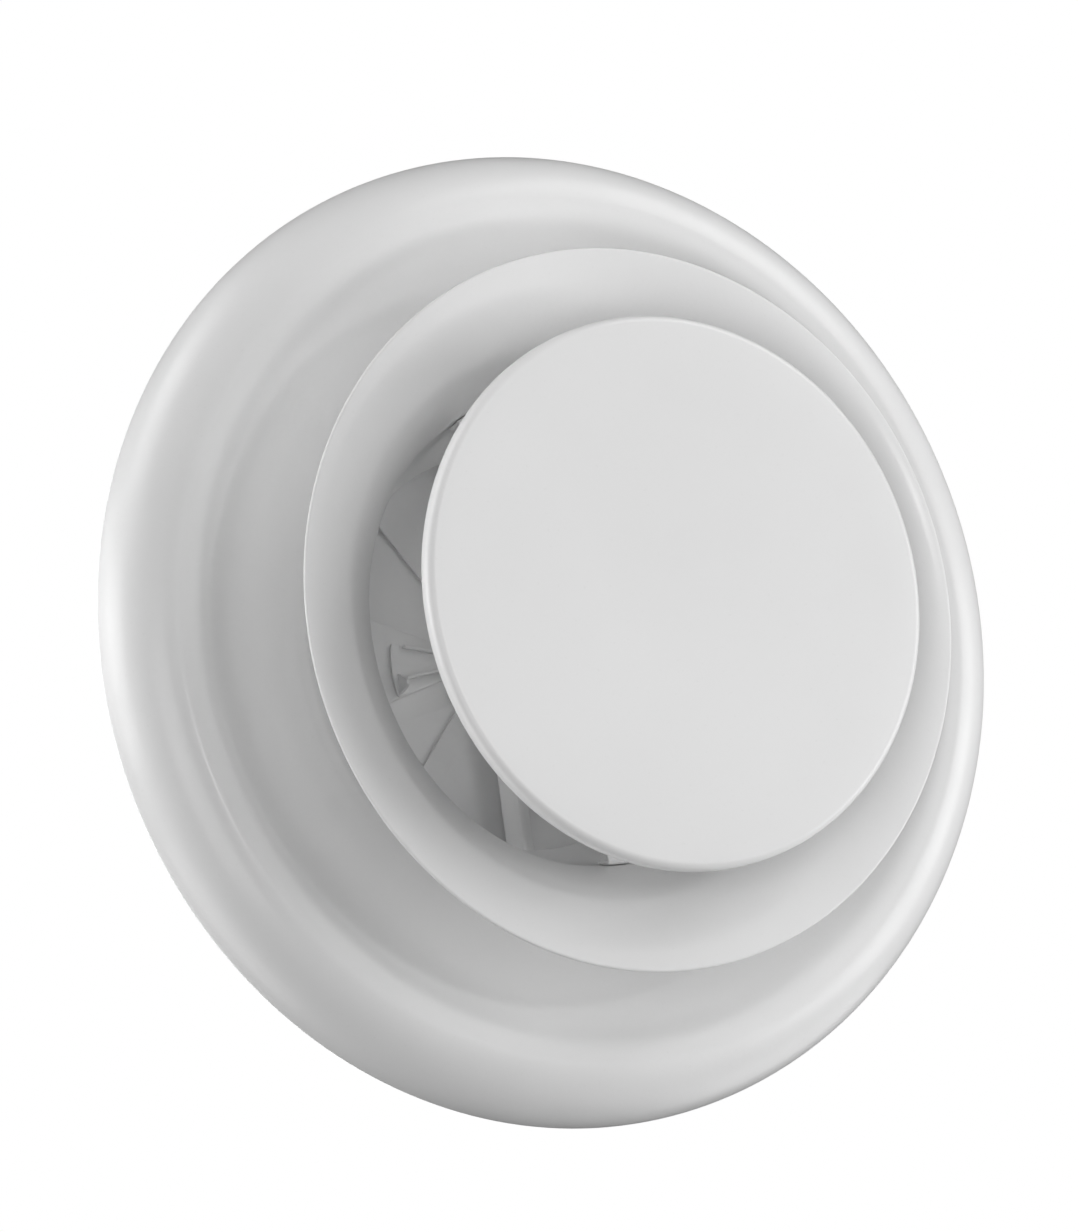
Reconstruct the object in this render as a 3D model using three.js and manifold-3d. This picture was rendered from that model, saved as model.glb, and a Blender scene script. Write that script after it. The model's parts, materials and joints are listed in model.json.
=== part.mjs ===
// Round ceiling air diffuser with an adjustable cone set and a rotary shutter damper.
// Millimetres, +Z up into the ceiling void. The origin is the centre of the ceiling plane,
// which the foam gasket on the back of the rim presses against. The room is below, at -Z.

import * as THREE from 'three';
import { mergeVertices } from 'three/addons/utils/BufferGeometryUtils.js';
import Module from 'manifold-3d';

const wasm = await Module();
wasm.setup();

// ---------------------------------------------------------------- driving dimensions

const SHEET = 1.2;              // wall of every pressed steel sheet
const GAP = 0.3;                // clearance between pieces that touch
const ROUND_STEPS = 40;         // facets round a large turned piece
const SMALL_STEPS = 16;         // facets round a small turned piece

const RIM_RADIUS = 150;         // outermost edge of the frame
const RIM_WIDEST_Z = -8;        // height of that outermost edge
const RIM_CREST_RADIUS = 132.5; // lowest line of the rounded rim
const RIM_CREST_Z = -27.2;
const CREASE_RADIUS = 120;      // where the rim turns into the throat
const CREASE_Z = -19.6;
const THROAT_END_RADIUS = 90;   // where the throat flattens into the neck shoulder
const THROAT_END_Z = 0.6;
const SHOULDER_Z = 2.4;         // underside of the flat shoulder round the neck
const FRAME_NECK_TOP_Z = 18;    // the frame's own neck tucks this far up into the spigot
const BACK_EDGE_RADIUS = 4.2;   // the rim rolls over this radius to its back flange

const GASKET_INNER_RADIUS = 133;
const GASKET_OUTER_RADIUS = 145;
const GASKET_THICKNESS = 3;

const NECK_RADIUS = 79.2;       // outside of the spigot, for a nominal 160 mm duct
const NECK_TOP_Z = 66;
const NECK_FLANGE_RADIUS = 91;
const NECK_BEAD = 1.4;          // height of the ridges that keep the lip seal in place
const NECK_FLARE = 2.2;         // chamfer at the spigot's lower mouth
const SEAL_BOTTOM_Z = 50;
const SEAL_WIDTH = 11;
const SEAL_LIP = 4.2;           // how far the two lips stand off the spigot

const BAR_ANGLE = 105;          // direction of the bridge bar, degrees from +X
const BAR_HALF_WIDTH = 4.2;
const BAR_TOP_Z = 40;
const BAR_DEPTH = 2.6;          // depth of its V section
const BAR_FOOT = 15;            // length of each foot bent down along the spigot wall
const BAR_FOOT_WIDTH = 20;
const BAR_FLARE_START = 66;     // distance from the axis where the bar starts to widen
const BAR_PAD = [26, 16];

const SEAT_Z = 46.8;            // underside of the fixed shutter plate
const SEAT_SKIRT = 10;
const ROTOR_RADIUS = 72;
const ROTOR_Z = 45.2;           // underside of the turning shutter plate
const SHUTTER_SHEET = 1;
const SHUTTER_PORTS = 5;
const SEAT_PORT_ANGLE = 198;    // direction of the fixed plate's first port, degrees from +X
const PORT_INNER_RADIUS = 15;
const PORT_OUTER_RADIUS = 66;
const PORT_ANGLE = 33;          // width of one port, degrees
const ROTOR_HOLE_RADIUS = 8;
const LEVER_ANGLE = 198;        // direction of the shutter's finger lever, degrees from +X
const LEVER_TIP_RADIUS = 34;
const LEVER_ROOT_RADIUS = 11.5;
const LEVER_HALF_ANGLE = 10.7;
const LEVER_EAR_ANGLE = 8;      // how far round the tip the tab's ear reaches past the blade
const LEVER_EAR_DEPTH = 4;
const LEVER_FLANGES = [4, 2.2]; // depth of the folded sides at the root and towards the tip
const LEVER_TAB = 7;
const EYELET_FLANGE_RADIUS = 11;
const EYELET_WALL = 0.8;

const SPINDLE_RADIUS = 3.9;     // M8 threaded rod, its thread left plain
const SPINDLE_TOP_Z = 60;
const SPINDLE_BOTTOM_Z = -78;
const NUT_FLATS = 13;           // across flats of the M8 nuts
const NUT_HEIGHT = 6;
const BRIDGE_NUT_HEIGHT = 3.4;

const BELL_LIP_RADIUS = 108;
const BELL_FLARE_CENTRE = [112, -12];
const BELL_FLARE_WIDTH = 40;    // half axes of the elliptical flare
const BELL_FLARE_HEIGHT = 48;
const BELL_TOP_RADIUS = 63;
const BELL_TOP_Z = 22;

const DISC_RADIUS = 81.1;
const DISC_FRONT_Z = -84.2;
const DISC_WALL = 5;
const DISC_CORNER = 2.4;

const STIFFENER_RADIUS = 44;
const BOSS_FLANGE_RADIUS = 10.6;
const BOSS_RADIUS = 7.5;
const BOSS_TOP_Z = -66.2;

const STRAP_ANGLE = 92.5;       // direction of the strap that carries the bell, degrees from +X
const STRAP_TOP_Z = -23.8;
const STRAP_WAIST = 18;         // width of the strap in the middle
const STRAP_FOOT_WIDTH = 39;    // and at its two feet
const STRAP_WAIST_END = 60;     // distance from the axis where it starts to widen
const STRAP_FOOT_TOP_Z = -15.8;
const STRAP_RIVET_SPREAD = 9.5; // degrees either side of the strap's direction
const STRAP_RIVET_HEIGHT = 3.6;

const RIVET_RADIUS = 1.6;
const RIVET_HEAD_RADIUS = 3;
const RIVET_HEAD = 1.2;
const RIVET_STEPS = 8;

// ---------------------------------------------------------------- materials

const WHITE_PAINT = { color: 0xe6e6e6, roughness: 0.42, metalness: 0 };
const ZINC_SHEET = { color: 0xb4b6b8, roughness: 0.45, metalness: 0.9 };
const ZINC_FASTENER = { color: 0xc2c2bd, roughness: 0.35, metalness: 0.95 };
const ALUMINIUM = { color: 0xcfd0d2, roughness: 0.4, metalness: 0.9 };
const RUBBER = { color: 0x1c1c1d, roughness: 0.8, metalness: 0 };
const FOAM = { color: 0x3a3a3c, roughness: 0.95, metalness: 0 };
const NYLON = { color: 0xdedcd2, roughness: 0.5, metalness: 0 };

const diffuser = new THREE.Group();

// ---------------------------------------------------------------- solid helpers

function signedVolume(position, index) {
  const a = new THREE.Vector3();
  const b = new THREE.Vector3();
  const c = new THREE.Vector3();
  let volume = 0;
  for (let i = 0; i < index.length; i += 3) {
    a.fromBufferAttribute(position, index[i]);
    b.fromBufferAttribute(position, index[i + 1]);
    c.fromBufferAttribute(position, index[i + 2]);
    volume += a.dot(b.cross(c)) / 6;
  }
  return volume;
}

// A closed geometry as a solid, with its faces turned outwards.
function solid(geometry) {
  const bare = geometry.index ? geometry.clone() : geometry;
  bare.deleteAttribute('normal');
  bare.deleteAttribute('uv');
  const merged = mergeVertices(bare, 1e-4);
  const position = merged.attributes.position;
  const kept = [];
  for (let i = 0; i < merged.index.count; i += 3) {
    const triangle = [0, 1, 2].map((k) => merged.index.getX(i + k));
    if (new Set(triangle).size === 3) kept.push(...triangle);
  }
  if (signedVolume(position, kept) < 0) kept.reverse();
  return new wasm.Manifold(new wasm.Mesh({
    numProp: 3,
    vertProperties: new Float32Array(position.array),
    triVerts: new Uint32Array(kept),
  }));
}

function addPart(name, body, look) {
  const mesh = body.getMesh();
  const geometry = new THREE.BufferGeometry();
  geometry.setAttribute('position', new THREE.BufferAttribute(mesh.vertProperties, 3));
  geometry.setIndex(new THREE.BufferAttribute(mesh.triVerts, 1));
  geometry.computeVertexNormals();
  const part = new THREE.Mesh(geometry, new THREE.MeshStandardMaterial(look));
  part.name = name;
  diffuser.add(part);
}

// A closed outline of [radius, height] points, turned about the Z axis.
function turned(outline, steps = ROUND_STEPS) {
  const points = outline.map(([radius, height]) => new THREE.Vector2(radius, height));
  if (outline[0][0] > 0) points.push(points[0].clone());
  return solid(new THREE.LatheGeometry(points, steps).rotateX(Math.PI / 2));
}

function ring(innerRadius, outerRadius, bottom, top, steps = ROUND_STEPS) {
  const outline = [[innerRadius, bottom], [outerRadius, bottom], [outerRadius, top], [innerRadius, top]];
  return turned(outline, steps);
}

function rod(radius, bottom, top, steps = SMALL_STEPS) {
  return turned([[0, bottom], [radius, bottom], [radius, top], [0, top]], steps);
}

// A curve of [radius, height] points, made into a closed outline one sheet thick.
// The sheet lies on the left of the curve's direction.
function sheetOutline(curve, thickness = SHEET) {
  const offset = curve.map((point, i) => {
    const before = curve[Math.max(i - 1, 0)];
    const after = curve[Math.min(i + 1, curve.length - 1)];
    const run = new THREE.Vector2(after[0] - before[0], after[1] - before[1]).normalize();
    const into = new THREE.Vector2(point[0] - before[0], point[1] - before[1]).normalize();
    const corner = i === 0 ? 1 : Math.max(run.dot(into), 0.7);
    return [point[0] - (run.y * thickness) / corner, point[1] + (run.x * thickness) / corner];
  });
  return [...curve, ...offset.reverse()];
}

// Points on an ellipse about a centre, between two angles in degrees.
function ellipseArc([centreX, centreY], halfWidth, halfHeight, from, to, steps) {
  return Array.from({ length: steps + 1 }, (_, i) => {
    const angle = THREE.MathUtils.degToRad(from + ((to - from) * i) / steps);
    return [centreX + halfWidth * Math.cos(angle), centreY + halfHeight * Math.sin(angle)];
  });
}

// A flat outline in X and Y, thickened upwards from a height.
function plate(outline, bottom, thickness, holes = []) {
  const shape = new THREE.Shape(outline.map(([x, y]) => new THREE.Vector2(x, y)));
  for (const hole of holes) shape.holes.push(new THREE.Path(hole.map(([x, y]) => new THREE.Vector2(x, y))));
  const options = { depth: thickness, bevelEnabled: false };
  return solid(new THREE.ExtrudeGeometry(shape, options).translate(0, 0, bottom));
}

function rectangle(length, width) {
  const [x, y] = [length / 2, width / 2];
  return [[-x, -y], [x, -y], [x, y], [-x, y]];
}

function circle(radius, steps) {
  return ellipseArc([0, 0], radius, radius, 0, 360, steps).slice(0, -1);
}

function hexNut(bottom, height, flats, boreRadius) {
  const corner = flats / Math.sqrt(3);
  const hexagon = ellipseArc([0, 0], corner, corner, 0, 360, 6).slice(0, -1);
  return plate(hexagon, bottom, height, [circle(boreRadius, SMALL_STEPS)]);
}

// A place on a side wall: a direction round the axis, a radius, a height, and the tilt of
// the outward direction below the horizontal.
function placed(body, place) {
  const tilted = body.rotate([0, 90 + place.tilt, 0]);
  return tilted.translate([place.radius, 0, place.height]).rotate([0, 0, place.angle]);
}

// A blind rivet along +Z, its flattened tail below the sheets and its head above them.
function rivet(grip) {
  const tail = RIVET_HEAD_RADIUS - 0.6;
  return turned([
    [0, -GAP - RIVET_HEAD], [tail, -GAP - RIVET_HEAD], [tail, -GAP],
    [RIVET_RADIUS, -GAP], [RIVET_RADIUS, grip + GAP], [RIVET_HEAD_RADIUS, grip + GAP],
    [RIVET_HEAD_RADIUS - 0.9, grip + GAP + RIVET_HEAD], [0, grip + GAP + RIVET_HEAD],
  ], RIVET_STEPS);
}

function rivetHole() {
  const reach = 6;
  return rod(RIVET_RADIUS + GAP, -reach, reach, RIVET_STEPS);
}

function drilled(body, places) {
  return places.reduce((left, place) => left.subtract(placed(rivetHole(), place)), body);
}

// ---------------------------------------------------------------- where the rivets go

const WALL_STACK = 2 * SHEET + GAP;
const NECK_WALL_INSIDE = NECK_RADIUS - SHEET;
const SKIRT_INSIDE = NECK_WALL_INSIDE - GAP - SHEET;

function wallPlace(angle, height) {
  return { angle, radius: SKIRT_INSIDE, height, tilt: 0 };
}

const FOOT_RIVET_SPREAD = 4.5;
const BRIDGE_RIVETS = [BAR_ANGLE, BAR_ANGLE + 180].flatMap((angle) => [-FOOT_RIVET_SPREAD, FOOT_RIVET_SPREAD]
  .map((spread) => wallPlace(angle + spread, BAR_TOP_Z - BAR_FOOT + 4)));
const SEAT_RIVETS = [45, 165, 225, 345].map((angle) => wallPlace(angle, SEAT_Z - SEAT_SKIRT / 2));

// The bell's inner flare, from the neck end to the lip.
const LIP_REACH = (BELL_FLARE_CENTRE[0] - BELL_LIP_RADIUS) / BELL_FLARE_WIDTH;
const FLARE_LIP_ANGLE = 180 + THREE.MathUtils.radToDeg(Math.acos(LIP_REACH));
const FLARE_NECK_ANGLE = 184;
const BELL_CURVE = [
  [BELL_TOP_RADIUS, BELL_TOP_Z],
  ...ellipseArc(BELL_FLARE_CENTRE, BELL_FLARE_WIDTH, BELL_FLARE_HEIGHT, FLARE_NECK_ANGLE, FLARE_LIP_ANGLE, 9),
];

// A point on the flare, moved off its inner face towards the axis.
function offFlare(angle, distance) {
  const [halfWidth, halfHeight] = [BELL_FLARE_WIDTH, BELL_FLARE_HEIGHT];
  const [[radius, height]] = ellipseArc(BELL_FLARE_CENTRE, halfWidth, halfHeight, angle, angle, 1);
  const slope = THREE.MathUtils.degToRad(angle);
  const normal = new THREE.Vector2(Math.cos(slope) / halfWidth, Math.sin(slope) / halfHeight);
  normal.normalize();
  return [radius + normal.x * distance, height + normal.y * distance];
}

// The angle on the flare ellipse of a height on its inner face.
function flareAngle(height) {
  return 180 + THREE.MathUtils.radToDeg(Math.asin((BELL_FLARE_CENTRE[1] - height) / BELL_FLARE_HEIGHT));
}

const STRAP_RIVET_FLARE = flareAngle(STRAP_TOP_Z + STRAP_RIVET_HEIGHT);
const STRAP_RIVET_SPREADS = [-STRAP_RIVET_SPREAD, STRAP_RIVET_SPREAD];
const STRAP_RIVETS = [STRAP_ANGLE, STRAP_ANGLE + 180].flatMap((angle) => STRAP_RIVET_SPREADS
  .map((spread) => {
    const [radius, height] = offFlare(STRAP_RIVET_FLARE, SHEET + GAP);
    const outer = offFlare(STRAP_RIVET_FLARE, 0);
    const tilt = -THREE.MathUtils.radToDeg(Math.atan2(outer[1] - height, outer[0] - radius));
    return { angle: angle + spread, radius, height, tilt };
  }));

// ---------------------------------------------------------------- fixed pieces

// Rim with a rolled back edge, then the throat, the flat shoulder and the neck inside the spigot.
function outerFrame() {
  const flangeZ = -GASKET_THICKNESS - GAP - SHEET;
  const backEdge = [RIM_RADIUS - BACK_EDGE_RADIUS, RIM_WIDEST_Z];
  const crestWidth = RIM_RADIUS - RIM_CREST_RADIUS;
  const crestDepth = RIM_WIDEST_Z - RIM_CREST_Z;
  const room = [
    [GASKET_INNER_RADIUS - 2, flangeZ],
    ...ellipseArc(backEdge, BACK_EDGE_RADIUS, flangeZ - RIM_WIDEST_Z, 90, 0, 3),
    ...ellipseArc([RIM_CREST_RADIUS, RIM_WIDEST_Z], crestWidth, crestDepth, 0, -90, 7).slice(1),
    [126.4, -25.6],
    [CREASE_RADIUS, CREASE_Z],
    [110, -10.6],
    [100, -4],
    [THROAT_END_RADIUS, THROAT_END_Z],
    [SKIRT_INSIDE + 4, SHOULDER_Z],
    [SKIRT_INSIDE + 0.9, SHOULDER_Z + 1.2],
    [SKIRT_INSIDE, SHOULDER_Z + 3.6],
    [SKIRT_INSIDE, FRAME_NECK_TOP_Z],
  ];
  addPart('outer_frame', turned(sheetOutline(room, -SHEET)), WHITE_PAINT);
}

function rimGasket() {
  addPart('rim_gasket', ring(GASKET_INNER_RADIUS, GASKET_OUTER_RADIUS, -GASKET_THICKNESS, 0), FOAM);
}

// Flanged spigot, with a ridge and a curled top edge that hold the lip seal.
function neckCollar() {
  const flangeZ = SHOULDER_Z + SHEET + GAP;
  const inside = NECK_WALL_INSIDE;
  const ridge = NECK_RADIUS + NECK_BEAD;
  const ridgeZ = SEAL_BOTTOM_Z - 1;
  const outline = [
    [inside, flangeZ + NECK_FLARE], [inside + NECK_FLARE, flangeZ], [NECK_FLANGE_RADIUS, flangeZ],
    [NECK_FLANGE_RADIUS, flangeZ + SHEET], [NECK_RADIUS + 0.8, flangeZ + SHEET],
    [NECK_RADIUS, flangeZ + SHEET + 1], [NECK_RADIUS, ridgeZ - 2.4], [ridge, ridgeZ - 1.4],
    [ridge, ridgeZ - 0.6], [NECK_RADIUS, ridgeZ], [NECK_RADIUS, NECK_TOP_Z - 3],
    [ridge, NECK_TOP_Z - 2], [ridge, NECK_TOP_Z - 0.6], [NECK_RADIUS, NECK_TOP_Z],
    [inside, NECK_TOP_Z],
  ];
  addPart('neck_collar', drilled(turned(outline), [...BRIDGE_RIVETS, ...SEAT_RIVETS]), ZINC_SHEET);
}

function neckLipSeal() {
  const inside = NECK_RADIUS + GAP;
  const base = inside + 1.3;
  const lip = NECK_RADIUS + SEAL_LIP;
  const bottom = SEAL_BOTTOM_Z;
  const top = SEAL_BOTTOM_Z + SEAL_WIDTH;
  addPart('neck_lip_seal', turned([
    [inside, bottom], [base, bottom], [lip, bottom + 0.6], [lip, bottom + 1.2], [base, bottom + 3.2],
    [base, bottom + 6], [lip, bottom + 6.6], [lip, bottom + 7.2], [base, bottom + 9.2],
    [base, top], [inside, top],
  ]), RUBBER);
}

// Folded bar across the spigot: a V section with a flat pad in the middle and two feet.
function bridgeBar() {
  const halfLength = SKIRT_INSIDE - 1;
  const section = new THREE.Shape([
    [-BAR_HALF_WIDTH, BAR_TOP_Z], [0, BAR_TOP_Z - BAR_DEPTH], [BAR_HALF_WIDTH, BAR_TOP_Z],
    [BAR_HALF_WIDTH, BAR_TOP_Z - SHEET], [0, BAR_TOP_Z - BAR_DEPTH - SHEET],
    [-BAR_HALF_WIDTH, BAR_TOP_Z - SHEET],
  ].map(([y, z]) => new THREE.Vector2(-y, z)));
  const length = { depth: 2 * halfLength, bevelEnabled: false };
  const arm = new THREE.ExtrudeGeometry(section, length).rotateX(Math.PI / 2).rotateZ(Math.PI / 2);
  arm.translate(-halfLength, 0, 0);
  const pad = plate(rectangle(...BAR_PAD), BAR_TOP_Z - SHEET, SHEET);
  const wall = ring(SKIRT_INSIDE, SKIRT_INSIDE + SHEET, BAR_TOP_Z - BAR_FOOT, BAR_TOP_Z);
  const half = BAR_FOOT_WIDTH / 2;
  const feet = wall.intersect(plate(rectangle(2 * RIM_RADIUS, BAR_FOOT_WIDTH), 0, BAR_TOP_Z));
  const bend = plate([
    [-SKIRT_INSIDE - 1, -half], [-BAR_FLARE_START, -BAR_HALF_WIDTH],
    [-BAR_FLARE_START, BAR_HALF_WIDTH], [-SKIRT_INSIDE - 1, half],
  ], BAR_TOP_Z - SHEET, SHEET);
  const within = rod(SKIRT_INSIDE + SHEET, 0, BAR_TOP_Z, ROUND_STEPS);
  const top = bend.add(bend.rotate([0, 0, 180])).intersect(within);
  const whole = solid(arm).add(pad).add(feet).add(top).rotate([0, 0, BAR_ANGLE]);
  const bored = whole.subtract(rod(SPINDLE_RADIUS + 0.7, 0, BAR_TOP_Z + 1));
  addPart('bridge_bar', drilled(bored, BRIDGE_RIVETS), WHITE_PAINT);
}

function bridgeNut() {
  const bottom = BAR_TOP_Z + GAP;
  addPart('bridge_nut', hexNut(bottom, BRIDGE_NUT_HEIGHT, NUT_FLATS, SPINDLE_RADIUS + GAP), ZINC_FASTENER);
}

function rivets() {
  BRIDGE_RIVETS.forEach((place, i) => {
    addPart(`bridge_rivet_${i + 1}`, placed(rivet(WALL_STACK), place), ALUMINIUM);
  });
  SEAT_RIVETS.forEach((place, i) => {
    addPart(`shutter_rivet_${i + 1}`, placed(rivet(WALL_STACK), place), ALUMINIUM);
  });
  STRAP_RIVETS.forEach((place, i) => {
    addPart(`strap_rivet_${i + 1}`, placed(rivet(2 * SHEET + GAP), place), ALUMINIUM);
  });
}

// ---------------------------------------------------------------- rotary shutter

function shutterPorts(firstAngle) {
  return Array.from({ length: SHUTTER_PORTS }, (_, i) => {
    const middle = firstAngle + (360 / SHUTTER_PORTS) * i;
    const from = middle - PORT_ANGLE / 2;
    const to = middle + PORT_ANGLE / 2;
    return [
      ...ellipseArc([0, 0], PORT_OUTER_RADIUS, PORT_OUTER_RADIUS, from, to, 8),
      ...ellipseArc([0, 0], PORT_INNER_RADIUS, PORT_INNER_RADIUS, to, from, 4),
    ];
  });
}

function shutterSeat() {
  const holes = [...shutterPorts(SEAT_PORT_ANGLE), circle(ROTOR_HOLE_RADIUS, 24)];
  const face = plate(circle(NECK_WALL_INSIDE - GAP, ROUND_STEPS), SEAT_Z, SHUTTER_SHEET, holes);
  const skirt = ring(SKIRT_INSIDE, SKIRT_INSIDE + SHEET, SEAT_Z - SEAT_SKIRT, SEAT_Z + SHUTTER_SHEET / 2);
  const footRoom = ring(SKIRT_INSIDE - 2, NECK_RADIUS, SEAT_Z - SEAT_SKIRT - 1, BAR_TOP_Z + 2);
  const band = plate(rectangle(2 * RIM_RADIUS, BAR_FOOT_WIDTH + 4), 0, NECK_TOP_Z);
  const notches = footRoom.intersect(band).rotate([0, 0, BAR_ANGLE]);
  addPart('shutter_seat', drilled(face.add(skirt.subtract(notches)), SEAT_RIVETS), WHITE_PAINT);
}

function shutterRotor() {
  const holes = [...shutterPorts(SEAT_PORT_ANGLE + 180 / SHUTTER_PORTS), circle(ROTOR_HOLE_RADIUS, 24)];
  const rotor = plate(circle(ROTOR_RADIUS, ROUND_STEPS), ROTOR_Z, SHUTTER_SHEET, holes);
  addPart('shutter_rotor', rotor, WHITE_PAINT);
}

// One folded side of the lever: an upright strip along a radial edge, deeper at the root.
function leverFlange(angle, inwards) {
  const top = ROTOR_Z - GAP - SHUTTER_SHEET / 2;
  const [start, end] = [LEVER_ROOT_RADIUS + 1.5, LEVER_TIP_RADIUS - LEVER_EAR_DEPTH];
  const [rootDepth, tipDepth] = LEVER_FLANGES;
  const shape = new THREE.Shape([
    [start, top], [end, top], [end, top - tipDepth], [start, top - rootDepth],
  ].map(([x, z]) => new THREE.Vector2(x, z)));
  const strip = new THREE.ExtrudeGeometry(shape, { depth: SHUTTER_SHEET, bevelEnabled: false });
  strip.rotateX(Math.PI / 2);
  if (inwards > 0) strip.translate(0, SHUTTER_SHEET, 0);
  return solid(strip).rotate([0, 0, angle]);
}

// Tapered lever on a web of the rotor, its sides folded down, with a pointed finger tab bent down
// from an ear at its tip.
function shutterLever() {
  const top = ROTOR_Z - GAP;
  const [tip, side] = [LEVER_TIP_RADIUS, LEVER_HALF_ANGLE];
  const ear = side + LEVER_EAR_ANGLE;
  const neck = tip - LEVER_EAR_DEPTH;
  const outline = [
    ...ellipseArc([0, 0], tip, tip, -ear, side, 6),
    ...ellipseArc([0, 0], LEVER_ROOT_RADIUS, LEVER_ROOT_RADIUS, side, -side, 2),
    ...ellipseArc([0, 0], neck, neck, -side, -ear, 2),
  ];
  const blade = plate(outline, top - SHUTTER_SHEET, SHUTTER_SHEET);
  const [outer, inner] = [ear, side / 2].map((angle) => -tip * Math.sin(THREE.MathUtils.degToRad(angle)));
  const point = (outer + inner) / 2;
  const shape = new THREE.Shape([
    [outer, top - SHUTTER_SHEET / 2], [point - 1, top - LEVER_TAB],
    [point + 1, top - LEVER_TAB], [inner, top - SHUTTER_SHEET / 2],
  ].map(([y, z]) => new THREE.Vector2(y, z)));
  const sheet = { depth: SHUTTER_SHEET, bevelEnabled: false };
  const tab = new THREE.ExtrudeGeometry(shape, sheet).rotateX(Math.PI / 2).rotateZ(Math.PI / 2);
  tab.translate(tip * Math.cos(THREE.MathUtils.degToRad(ear)) - SHUTTER_SHEET, 0, 0);
  const whole = blade.add(solid(tab)).add(leverFlange(side, -1)).add(leverFlange(-side, 1));
  addPart('shutter_lever', whole.rotate([0, 0, LEVER_ANGLE]), WHITE_PAINT);
}

// Tubular rivet that holds the rotor under the seat and lets the spindle through.
function shutterEyelet() {
  const bore = SPINDLE_RADIUS + 0.9;
  const barrel = ROTOR_HOLE_RADIUS - GAP;
  const flange = EYELET_FLANGE_RADIUS;
  const low = ROTOR_Z - GAP;
  const high = SEAT_Z + SHUTTER_SHEET + GAP;
  addPart('shutter_eyelet', turned([
    [bore, low - EYELET_WALL], [flange, low - EYELET_WALL], [flange, low], [barrel, low],
    [barrel, high], [flange, high], [flange, high + EYELET_WALL], [bore, high + EYELET_WALL],
  ], 24), NYLON);
}

// ---------------------------------------------------------------- spindle

function threadedSpindle() {
  const chamfer = 0.8;
  const [low, high] = [SPINDLE_BOTTOM_Z, SPINDLE_TOP_Z];
  addPart('threaded_spindle', turned([
    [0, low], [SPINDLE_RADIUS - chamfer, low], [SPINDLE_RADIUS, low + chamfer],
    [SPINDLE_RADIUS, high - chamfer], [SPINDLE_RADIUS - chamfer, high], [0, high],
  ], 24), ZINC_FASTENER);
}

// Tube that keeps the strap at its distance above the disc's boss.
function spacerTube() {
  const [low, high] = [BOSS_TOP_Z + GAP, STRAP_TOP_Z - SHEET - GAP];
  const tube = ring(SPINDLE_RADIUS + GAP, BOSS_RADIUS - 1, low, high, SMALL_STEPS);
  addPart('spacer_tube', tube, ZINC_FASTENER);
}

function lockNutAndWasher() {
  const washerBottom = STRAP_TOP_Z + GAP;
  const washer = ring(SPINDLE_RADIUS + GAP, 8, washerBottom, washerBottom + SHEET, 24);
  addPart('lock_washer', washer, ZINC_FASTENER);
  const nutBottom = washerBottom + SHEET + GAP;
  addPart('lock_nut', hexNut(nutBottom, NUT_HEIGHT, NUT_FLATS, SPINDLE_RADIUS + GAP), ZINC_FASTENER);
}

// ---------------------------------------------------------------- cone set

// Trumpet-shaped ring that splits the air jet, its sheet outside the flare curve.
function bellCone() {
  const bell = turned(sheetOutline(BELL_CURVE, SHEET));
  addPart('bell_cone', drilled(bell, STRAP_RIVETS), WHITE_PAINT);
}

// Shallow round pan that closes the middle of the face.
function centreDisc() {
  const corner = [DISC_RADIUS - DISC_CORNER, DISC_FRONT_Z + DISC_CORNER];
  const face = [
    [0, DISC_FRONT_Z],
    ...ellipseArc(corner, DISC_CORNER, DISC_CORNER, -90, 0, 4),
    [DISC_RADIUS, DISC_FRONT_Z + DISC_WALL],
    [DISC_RADIUS - SHEET, DISC_FRONT_Z + DISC_WALL],
    ...ellipseArc(corner, DISC_CORNER - SHEET, DISC_CORNER - SHEET, 0, -90, 3),
    [0, DISC_FRONT_Z + SHEET],
  ];
  addPart('centre_disc', turned(face), WHITE_PAINT);
}

function discStiffener() {
  const bottom = DISC_FRONT_Z + SHEET + GAP;
  addPart('disc_stiffener', turned([
    [0, bottom], [STIFFENER_RADIUS, bottom], [STIFFENER_RADIUS, bottom + SHEET],
    [STIFFENER_RADIUS - 10, bottom + SHEET], [STIFFENER_RADIUS - 13, bottom + 2.6],
    [14, bottom + 2.6], [11, bottom + SHEET], [0, bottom + SHEET],
  ], 36), ZINC_SHEET);
}

// Threaded boss on the stiffener that takes the spindle's lower end.
function discBoss() {
  const bottom = DISC_FRONT_Z + 2 * SHEET + 2 * GAP;
  addPart('disc_boss', turned([
    [SPINDLE_RADIUS + GAP, bottom], [BOSS_FLANGE_RADIUS, bottom], [BOSS_FLANGE_RADIUS, bottom + 0.9],
    [BOSS_RADIUS, bottom + 2.6], [BOSS_RADIUS, BOSS_TOP_Z], [SPINDLE_RADIUS + GAP, BOSS_TOP_Z],
  ], 24), ZINC_FASTENER);
}

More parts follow.
